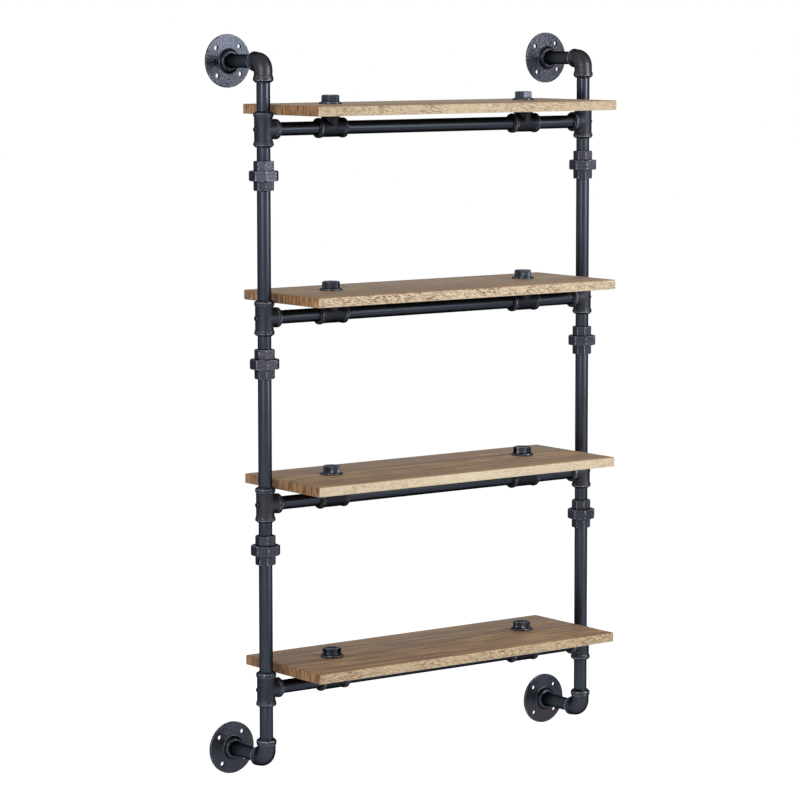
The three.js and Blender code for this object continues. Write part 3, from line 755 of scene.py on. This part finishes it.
def plug_mesh(x, z, turn):
    """Hexagon plug in one piece: shank, thin round flange, flare and chamfered head."""
    angles, radii, wears = wrench_columns(PLUG_CORNERS, PLUG_FLATS, WRENCH_CORNER_ROUND)
    rim = PLUG_FLATS / 2 - PLUG_INSET
    profile = [(0.0, PLUG_SHANK_TIP, 0), (PLUG_TIP_RADIUS, PLUG_SHANK_TIP, 0),
               (PIPE_RADIUS, PLUG_SHANK_TIP + PLUG_TIP_CHAMFER, 0), (PIPE_RADIUS, FIT_GAP, 0),
               (PLUG_FLANGE_RADIUS - PLUG_FLANGE_CHAMFER, FIT_GAP, 0),
               (PLUG_FLANGE_RADIUS, FIT_GAP + PLUG_FLANGE_CHAMFER, 0.6),
               (PLUG_FLANGE_RADIUS, PLUG_FLANGE_EDGE - EDGE_BREAK, 1.0),
               (PLUG_FLANGE_RADIUS - EDGE_BREAK, PLUG_FLANGE_EDGE, 1.0)]
    for t, height, wear in PLUG_FLARE:
        profile.append(([between(PLUG_FLANGE_RADIUS, r, t) for r in radii],
                        between(PLUG_FLANGE_EDGE, PLUG_FLANGE_TOP, height), wear))
    profile += reversed(chamfered(radii, wears, rim, PLUG_HEAD_TOP, 1))
    profile += [(0.0, PLUG_HEAD_TOP, 0.2)]
    place = Matrix.Translation((x, RISER_Y, z)) @ Matrix.Rotation(math.radians(turn), 4, "Z")
    return mesh_of([turned(profile, angles)], place)


def board_mesh(level):
    """Board with softly broken edges and a hole for the shank of each plug."""
    low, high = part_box(f"board_{level}")
    work = bmesh.new()
    bmesh.ops.create_cube(work, size=1.0)
    for vert in work.verts:
        vert.co = Vector([low[i] if vert.co[i] < 0 else high[i] for i in range(3)])
    bmesh.ops.bevel(work, geom=work.edges, offset=BOARD_EDGE_ROUND * MM, segments=3, profile=0.5,
                    affect="EDGES")
    blank = bpy.data.meshes.new("blank")
    work.to_mesh(blank)
    work.free()
    cutters = [drill(BOARD_HOLE_RADIUS, BOARD_HOLE_SIDES,
                     Matrix.Translation((side * PLUG_X, RISER_Y, low.z / MM)), low=-5, high=30)
               for side in SIDES.values()]
    return cut(blank, cutters)


# Geometry node trees

def new_tree(name, inputs):
    """Geometry tree with named inputs and the sockets that hand them out."""
    tree = bpy.data.node_groups.new(name, "GeometryNodeTree")
    for label, kind in inputs.items():
        tree.interface.new_socket(label, in_out="INPUT", socket_type=kind)
    tree.interface.new_socket("Geometry", in_out="OUTPUT", socket_type="NodeSocketGeometry")
    return tree, add(tree, "NodeGroupInput").outputs


def run_tree(tree, values):
    """Runs a tree with these inputs and returns the result as a plain mesh."""
    holder = bpy.data.objects.new("tree_run", bpy.data.meshes.new("tree_run"))
    bpy.context.scene.collection.objects.link(holder)
    modifier = holder.modifiers.new("tree", "NODES")
    modifier.node_group = tree
    for item in tree.interface.items_tree:
        if item.in_out == "INPUT" and item.name in values:
            modifier[item.identifier] = values[item.name]
    view = bpy.context.evaluated_depsgraph_get()
    mesh = bpy.data.meshes.new_from_object(holder.evaluated_get(view))
    holder.modifiers.clear()
    bpy.data.objects.remove(holder)
    finish_mesh(mesh)
    return mesh


def pipe_stock_tree():
    """A length of pipe along Z as one closed wall: outer face with a taper thread at both ends, bore
    and end faces. A grid's rows run out along the outside and back through the bore."""
    number, whole = "NodeSocketFloat", "NodeSocketInt"
    tree, given = new_tree("pipe_stock", {
        "Length": number, "Radius": number, "Wall": number, "Thread Length": number,
        "Thread Pitch": number, "Thread Depth": number, "Thread Rows": whole, "Sides": whole,
        "Start": "NodeSocketVector", "Turn": "NodeSocketVector", "Material": "NodeSocketMaterial"})

    length, rows = given["Length"], given["Thread Rows"]
    last = add(tree, "ShaderNodeMath", {0: rows, 1: 2.0, 2: 1.0}, operation="MULTIPLY_ADD")
    row_count = add(tree, "ShaderNodeMath", {0: rows, 1: 2.0, 2: 5.0}, operation="MULTIPLY_ADD")
    column_count = add(tree, "ShaderNodeMath", {0: given["Sides"], 1: 1.0}, operation="ADD")
    grid = add(tree, "GeometryNodeMeshGrid", {"Size X": 1.0, "Size Y": 1.0, "Vertices X": column_count,
                                              "Vertices Y": row_count})
    spot = add(tree, "ShaderNodeSeparateXYZ", {0: add(tree, "GeometryNodeInputPosition")}).outputs
    angle = add(tree, "ShaderNodeMapRange", {0: spot["X"], 1: -0.5, 2: 0.5, 3: 0.0, 4: 2 * math.pi})
    row = add(tree, "ShaderNodeMapRange", {
        0: spot["Y"], 1: -0.5, 2: 0.5, 3: 0.0,
        4: add(tree, "ShaderNodeMath", {0: row_count, 1: 1.0}, operation="SUBTRACT")})
    row = add(tree, "ShaderNodeMath", {0: row}, operation="ROUND")

    # Height of each row: up from the start, down from the far end, then back inside
    step = add(tree, "ShaderNodeMath", {0: given["Thread Length"], 1: rows}, operation="DIVIDE")
    near = add(tree, "ShaderNodeMath", {0: row, 1: step}, operation="MULTIPLY")
    left = add(tree, "ShaderNodeMath", {0: last, 1: row}, operation="SUBTRACT")
    left = add(tree, "ShaderNodeMath", {0: left, 1: step}, operation="MULTIPLY")
    far = add(tree, "ShaderNodeMath", {0: length, 1: left}, operation="SUBTRACT")
    far_end = add(tree, "FunctionNodeCompare", {0: row, 1: rows}, data_type="FLOAT",
                  operation="GREATER_THAN")
    outside = add(tree, "GeometryNodeSwitch", {"Switch": far_end, "False": near, "True": far},
                  input_type="FLOAT")
    returning = add(tree, "FunctionNodeCompare", {0: row, 1: last}, data_type="FLOAT",
                    operation="GREATER_THAN")
    turning = add(tree, "ShaderNodeMath", {0: last, 1: 1.5}, operation="ADD")
    before_turn = add(tree, "ShaderNodeMath", {0: row, 1: turning}, operation="LESS_THAN")
    back = add(tree, "ShaderNodeMath", {0: length, 1: before_turn}, operation="MULTIPLY")
    height = add(tree, "GeometryNodeSwitch", {"Switch": returning, "False": outside, "True": back},
                 input_type="FLOAT")

    # Radius of each row: the thread's groove fades out past the last full turn, and the bore is plain
    to_far_end = add(tree, "ShaderNodeMath", {0: length, 1: height}, operation="SUBTRACT")
    reach = add(tree, "ShaderNodeMath", {0: height, 1: to_far_end}, operation="MINIMUM")
    runout = add(tree, "ShaderNodeMath", {0: given["Thread Pitch"], 1: -RUNOUT_TURNS,
                                          2: given["Thread Length"]}, operation="MULTIPLY_ADD")
    fade = add(tree, "ShaderNodeMapRange", {0: reach, 1: runout, 2: given["Thread Length"], 3: 1.0,
                                            4: 0.0})
    turns = add(tree, "ShaderNodeMath", {0: height, 1: given["Thread Pitch"]}, operation="DIVIDE")
    turns = add(tree, "ShaderNodeMath", {0: turns, 1: 2 * math.pi}, operation="MULTIPLY")
    phase = add(tree, "ShaderNodeMath", {0: turns, 1: angle}, operation="SUBTRACT")
    wave = add(tree, "ShaderNodeMath", {0: phase}, operation="COSINE")
    groove = add(tree, "ShaderNodeMapRange", {0: wave, 1: -1.0, 2: 1.0, 3: 1.0, 4: 0.0})
    groove = add(tree, "ShaderNodeMath", {0: groove, 1: fade}, operation="MULTIPLY")
    groove = add(tree, "ShaderNodeMath", {0: groove, 1: given["Thread Depth"]}, operation="MULTIPLY")
    outer = add(tree, "ShaderNodeMath", {0: given["Radius"], 1: groove}, operation="SUBTRACT")
    bore = add(tree, "ShaderNodeMath", {0: given["Radius"], 1: given["Wall"]}, operation="SUBTRACT")
    closing = add(tree, "ShaderNodeMath", {0: last, 1: 2.5}, operation="ADD")
    before_close = add(tree, "ShaderNodeMath", {0: row, 1: closing}, operation="LESS_THAN")
    in_bore = add(tree, "FunctionNodeBooleanMath", {0: returning, 1: before_close}, operation="AND")
    radius = add(tree, "GeometryNodeSwitch", {"Switch": in_bore, "False": outer, "True": bore},
                 input_type="FLOAT")

    east = add(tree, "ShaderNodeMath", {0: angle}, operation="COSINE")
    north = add(tree, "ShaderNodeMath", {0: angle}, operation="SINE")
    place = add(tree, "ShaderNodeCombineXYZ", {
        0: add(tree, "ShaderNodeMath", {0: radius, 1: east}, operation="MULTIPLY"),
        1: add(tree, "ShaderNodeMath", {0: radius, 1: north}, operation="MULTIPLY"), 2: height})
    shaped = add(tree, "GeometryNodeSetPosition", {"Geometry": grid, "Position": place})
    closed = add(tree, "GeometryNodeMergeByDistance", {"Geometry": shaped, "Distance": WELD * MM})
    placed = add(tree, "GeometryNodeTransform", {"Geometry": closed, "Translation": given["Start"],
                                                 "Rotation": given["Turn"]})
    real = add(tree, "GeometryNodeRealizeInstances", {"Geometry": placed})
    painted = add(tree, "GeometryNodeSetMaterial", {"Geometry": real, "Material": given["Material"]})
    add(tree, "NodeGroupOutput", {"Geometry": painted})
    return tree


def set_screw_tree():
    """Button set screws down both risers: two lines of points, each carrying the one screw."""
    vector = "NodeSocketVector"
    tree, given = new_tree("set_screws", {
        "Screw": "NodeSocketObject", "Count": "NodeSocketInt", "Spacing": vector,
        "Left Start": vector, "Left Turn": vector, "Right Start": vector, "Right Turn": vector})
    screw = add(tree, "GeometryNodeObjectInfo", {"Object": given["Screw"]})
    join = add(tree, "GeometryNodeJoinGeometry")
    for side in ("Left", "Right"):
        line = add(tree, "GeometryNodeMeshLine", {"Count": given["Count"], "Offset": given["Spacing"],
                                                  "Start Location": given[f"{side} Start"]})
        carried = add(tree, "GeometryNodeInstanceOnPoints", {
            "Points": line, "Instance": screw.outputs["Geometry"],
            "Rotation": given[f"{side} Turn"]})
        tree.links.new(carried.outputs[0], join.inputs[0])
    real = add(tree, "GeometryNodeRealizeInstances", {"Geometry": join})
    coated = add(tree, "GeometryNodeSetMaterial", {"Geometry": real, "Material": IRON})
    add(tree, "NodeGroupOutput", {"Geometry": coated})
    return tree


PIPE_STOCK = pipe_stock_tree()
TURN_TO = {"X": (0.0, math.pi / 2, 0.0), "Y": (-math.pi / 2, 0.0, 0.0), "Z": (0.0, 0.0, 0.0)}


def add_pipe(name, start, axis, length, *nodes, material=PAINT):
    """A length of pipe from its start point along one axis of the frame."""
    mesh = run_tree(PIPE_STOCK, {
        "Length": length * MM, "Radius": PIPE_RADIUS * MM, "Wall": PIPE_WALL * MM,
        "Thread Length": THREAD_LENGTH * MM, "Thread Pitch": THREAD_PITCH * MM,
        "Thread Depth": THREAD_DEPTH * MM, "Thread Rows": THREAD_ROWS, "Sides": PIPE_SIDES,
        "Start": Vector(start) * MM, "Turn": TURN_TO[axis], "Material": material})
    piece(name, mesh, material, "pipe_paint", *nodes)


def add_iron(name, mesh, *nodes, material=IRON):
    """A casting, or a part turned or forged to go with them."""
    piece(name, mesh, material, "iron_fitting", *nodes)


# The unit

def add_riser_ends(name, side):
    """Flanges, wall nipples and elbows of one riser, and its top and foot pipes."""
    x = side * RISER_X
    for end, z in ELBOW_Z.items():
        down = end == "upper"
        # Each flange's iron, the lower ones darkened with painted shade
        add_iron(f"flange_cast_{end}_{name}", flange_mesh(x, z, FLANGE_TURNS[f"{end}_{name}"]),
                 f"{end}_flange_{name}", material=FLANGE_SKINS_AND_SHADE[f"{end}_{name}"])
        place = Matrix.Translation((x, RISER_Y, z))
        # Upper elbows take the iron lightened with painted light, lower ones the tumbled iron
        add_iron(f"elbow_cast_{end}_{name}", mesh_of(elbow_strips(down), place), f"{end}_elbow_{name}",
                 material=HANDLED_AND_LIT_IRON if down else SMOOTH_IRON)
        start = RISER_Y + ELBOW_WALL_REACH - PIPE_IN_SOCKET
        add_pipe(f"wall_nipple_{end}_{name}", (x, start, z), "Y", -NIPPLE_INSET - start,
                 f"{end}_elbow_{name}")
    top = ELBOW_Z["upper"] - ELBOW_RISER_REACH + PIPE_IN_SOCKET
    foot = RAIL_Z[1] + TEE_RUN_REACH - PIPE_IN_SOCKET
    # The top pipes take the paint lightened with painted light
    add_pipe(f"riser_top_pipe_{name}", (x, RISER_Y, foot), "Z", top - foot, f"upper_pipe_{name}",
             material=LIT_TOP_PAINT)
    top = RAIL_Z[LEVELS[-1]] - TEE_RUN_REACH + PIPE_IN_SOCKET
    foot = ELBOW_Z["lower"] + ELBOW_RISER_REACH - PIPE_IN_SOCKET
    add_pipe(f"riser_foot_pipe_{name}", (x, RISER_Y, foot), "Z", top - foot, f"lower_elbow_{name}")


def add_riser_run(name, side):
    """Tees of one riser, and the union and long pipe below each but the last."""
    x = side * RISER_X
    inward = Matrix.Rotation(0 if side < 0 else math.pi, 4, "Z")
    for level in LEVELS:
        place = Matrix.Translation((x, RISER_Y, RAIL_Z[level]))
        strips = tee_strips(TEE_BRANCH_REACH, mouth(), CROTCH_FILLET)
        add_iron(f"tee_cast_{level}_{name}", mesh_of(strips, place @ inward), f"riser_tee_{level}_{name}")
        if level == LEVELS[-1]:
            continue
        turn = place @ Matrix.Rotation(math.pi / UNION_CORNERS, 4, "Z")
        add_iron(f"union_tail_iron_{level}_{name}", mesh_of(union_tail_strips(), turn),
                 f"union_tail_{level}_{name}", material=SMOOTH_IRON)
        add_iron(f"union_nut_iron_{level}_{name}", mesh_of(union_nut_strips(), turn),
                 f"union_nut_{level}_{name}", material=SMOOTH_IRON)
        add_iron(f"union_end_iron_{level}_{name}", mesh_of(union_end_strips(), turn),
                 f"riser_pipe_{level}_{name}")
        foot = RAIL_Z[level] + UNION_TOP - PIPE_IN_SOCKET
        top = RAIL_Z[level] - TEE_RUN_REACH + PIPE_IN_SOCKET
        add_pipe(f"union_nipple_{level}_{name}", (x, RISER_Y, foot), "Z", top - foot,
                 f"union_tail_{level}_{name}")
        foot = RAIL_Z[level + 1] + TEE_RUN_REACH - PIPE_IN_SOCKET
        top = RAIL_Z[level] + UNION_BOTTOM + PIPE_IN_SOCKET
        add_pipe(f"riser_long_pipe_{level}_{name}", (x, RISER_Y, foot), "Z", top - foot,
                 f"riser_pipe_{level}_{name}")


def add_shelf(level):
    """Board, the rail pipes and tees that carry it, and the plugs that clamp it down."""
    z = RAIL_Z[level]
    board_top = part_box(f"board_{level}")[1].z / MM
    piece(f"board_oak_{level}", board_mesh(level), OAK, "board_oak", f"board_{level}")
    start = -PLUG_X + TEE_RUN_REACH - PIPE_IN_SOCKET
    # The rails take the paint darkened with painted shade
    add_pipe(f"rail_pipe_centre_{level}", (start, RISER_Y, z), "X", -2 * start, f"rail_pipe_{level}",
             material=SHADED_RAIL_PAINT)
    for (name, side), turn in zip(SIDES.items(), PLUG_TURNS[level]):
        x = side * PLUG_X
        on_rail = Matrix.Translation((x, RISER_Y, z)) @ Matrix.Rotation(-math.pi / 2, 4, "Y")
        strips = tee_strips(TEE_OUTLET_REACH, short_mouth(), OUTLET_FILLET)
        # The rail tees take the iron darkened with painted shade
        add_iron(f"tee_cast_rail_{level}_{name}", mesh_of(strips, on_rail), f"rail_tee_{level}_{name}",
                 material=SHADED_RAIL_IRON)
        inner = PLUG_X + TEE_RUN_REACH - PIPE_IN_SOCKET
        outer = RISER_X - TEE_BRANCH_REACH + PIPE_IN_SOCKET
        # The stubs take the paint darkened with painted shade
        add_pipe(f"rail_stub_{level}_{name}", (inner if side > 0 else -outer, RISER_Y, z), "X",
                 outer - inner, f"rail_tee_{level}_{name}", material=SHADED_RAIL_PAINT)
        add_iron(f"plug_steel_{level}_{name}", plug_mesh(x, board_top, turn), f"plug_{level}_{name}",
                 material=PLUG_STEEL)


def add_set_screws():
    """Button set screws with a hexagon socket, one in the outer side of each riser tee."""
    angles, radii, _ = wrench_columns(SET_SCREW_SOCKET_CORNERS, SET_SCREW_SOCKET, SET_SCREW_CORNER_ROUND)
    profile = [(0.0, -SET_SCREW_ROOT, 0), (SET_SCREW_RADIUS - 0.6, -SET_SCREW_ROOT, 0),
               (SET_SCREW_RADIUS - 0.6, 0.0, 0), (SET_SCREW_RADIUS, 0.3, 0.4), (SET_SCREW_RADIUS, 0.8, 0.7),
               (SET_SCREW_RADIUS - 0.5, 1.7, 0.6), (SET_SCREW_RADIUS - 1.5, SET_SCREW_RISE, 0.5),
               (radii, SET_SCREW_RISE, 0.3), (radii, 0.6, 0), (0.0, 0.3, 0)]
    screw = bpy.data.objects.new("screw_pattern", mesh_of([turned(profile, angles)]))
    bpy.context.scene.collection.objects.link(screw)
    out = (RISER_X + BODY_RADIUS) * MM
    mesh = run_tree(set_screw_tree(), {
        "Screw": screw, "Count": len(LEVELS), "Spacing": (0.0, 0.0, (RAIL_Z[2] - RAIL_Z[1]) * MM),
        "Left Start": (-out, RISER_Y * MM, RAIL_Z[1] * MM), "Left Turn": (0.0, -math.pi / 2, 0.0),
        "Right Start": (out, RISER_Y * MM, RAIL_Z[1] * MM), "Right Turn": (0.0, math.pi / 2, 0.0)})
    bpy.data.objects.remove(screw)
    add_iron("set_screws", mesh, *[f"riser_tee_{level}_{name}" for level in LEVELS for name in SIDES])


for riser, riser_side in SIDES.items():
    add_riser_ends(riser, riser_side)
    add_riser_run(riser, riser_side)
for shelf in LEVELS:
    add_shelf(shelf)
add_set_screws()


# Floor, light and camera, in metres

FLOOR_SIZE = 28.0
FLOOR_HEIGHT = -0.42
FLOOR_GLOW = 0.68
WORLD_LIGHT = 0.42
AIM_HEIGHT = 0.54
IMAGE_SIZE = 800


def seen_directly(tree):
    """1 for camera, glossy and transmission rays, which see the white background, else 0."""
    path = add(tree, "ShaderNodeLightPath").outputs
    either = add(tree, "ShaderNodeMath", {0: path["Is Camera Ray"], 1: path["Is Glossy Ray"]},
                 operation="MAXIMUM")
    return add(tree, "ShaderNodeMath", {0: either, 1: path["Is Transmission Ray"]},
               operation="MAXIMUM")


def add_floor():
    """Plain pale floor, well below the unit. It glows where it is seen, and so runs into the background."""
    material, tree = new_material("floor_matt_white")
    matt = add(tree, "ShaderNodeBsdfDiffuse", {"Color": linear("#e6e6e6")})
    seen_glow = add(tree, "ShaderNodeMath", {0: seen_directly(tree), 1: FLOOR_GLOW}, operation="MULTIPLY")
    glow = add(tree, "ShaderNodeEmission", {"Strength": seen_glow})
    both = add(tree, "ShaderNodeAddShader", {0: matt, 1: glow})
    add(tree, "ShaderNodeOutputMaterial", {"Surface": both})
    mesh = bpy.data.meshes.new("floor")
    half = FLOOR_SIZE / 2
    mesh.from_pydata([(-half, -half, FLOOR_HEIGHT), (half, -half, FLOOR_HEIGHT), (half, half, FLOOR_HEIGHT),
                      (-half, half, FLOOR_HEIGHT)], [], [(0, 1, 2, 3)])
    mesh.materials.append(material)
    floor = bpy.data.objects.new("floor", mesh)
    bpy.context.scene.collection.objects.link(floor)


def add_world():
    """White where it is seen, and a soft even light at a lower level on everything else."""
    world = bpy.data.worlds.new("studio")
    bpy.context.scene.world = world
    world.use_nodes = True
    tree = world.node_tree
    tree.nodes.clear()
    strength = add(tree, "ShaderNodeMix", {0: seen_directly(tree), 2: WORLD_LIGHT, 3: 1.0},
                   data_type="FLOAT")
    light = add(tree, "ShaderNodeBackground", {"Color": (1.0, 1.0, 1.0, 1.0), "Strength": strength})
    add(tree, "ShaderNodeOutputWorld", {"Surface": light})


def add_softbox(name, bearing, height, distance, width, tall, radiance):
    """Area lamp facing the unit's middle; the bearing is in degrees from straight in front, to +X."""
    aim = Vector((0.0, RISER_Y * MM, AIM_HEIGHT))
    turn = math.radians(bearing)
    place = aim + distance * Vector((math.sin(turn), -math.cos(turn), 0.0))
    place.z = height
    lamp = bpy.data.lights.new(name, "AREA")
    lamp.shape = "RECTANGLE"
    lamp.size = width
    lamp.size_y = tall
    lamp.energy = radiance * math.pi * width * tall
    made = bpy.data.objects.new(name, lamp)
    made.location = place
    made.rotation_mode = "QUATERNION"
    made.rotation_quaternion = (aim - place).to_track_quat("-Z", "Y")
    bpy.context.scene.collection.objects.link(made)


def add_camera():
    """Camera at the photograph's angle, fitted to the pipes, fittings and board corners. The focal length
    and the shift are in pixels, the turns in radians."""
    focal, shift = 3313.09, -40.0
    yaw, pitch, roll = 0.64032, -0.10332, -0.0008
    place = Vector((-3186.47, -4299.08, 1151.79)) * MM
    forward = Vector((math.sin(yaw) * math.cos(pitch), math.cos(yaw) * math.cos(pitch), math.sin(pitch)))
    level = Vector((math.cos(yaw), -math.sin(yaw), 0.0))
    above = level.cross(forward)
    right = level * math.cos(roll) + above * math.sin(roll)
    up = above * math.cos(roll) - level * math.sin(roll)
    turn = Matrix((right, up, -forward)).transposed()
    camera = bpy.data.cameras.new("camera")
    camera.sensor_width = 36.0
    camera.lens = focal / IMAGE_SIZE * camera.sensor_width
    camera.shift_y = shift / IMAGE_SIZE
    made = bpy.data.objects.new("camera", camera)
    made.matrix_world = Matrix.Translation(place) @ turn.to_4x4()
    bpy.context.scene.collection.objects.link(made)
    bpy.context.scene.camera = made


add_floor()
add_world()
add_softbox("key_softbox", bearing=29.0, height=1.4, distance=3.0, width=1.1, tall=1.7, radiance=12.0)
add_softbox("side_softbox", bearing=-62.0, height=1.35, distance=3.0, width=0.9, tall=1.8, radiance=7.2)
add_camera()
bpy.context.scene.view_settings.view_transform = "Standard"
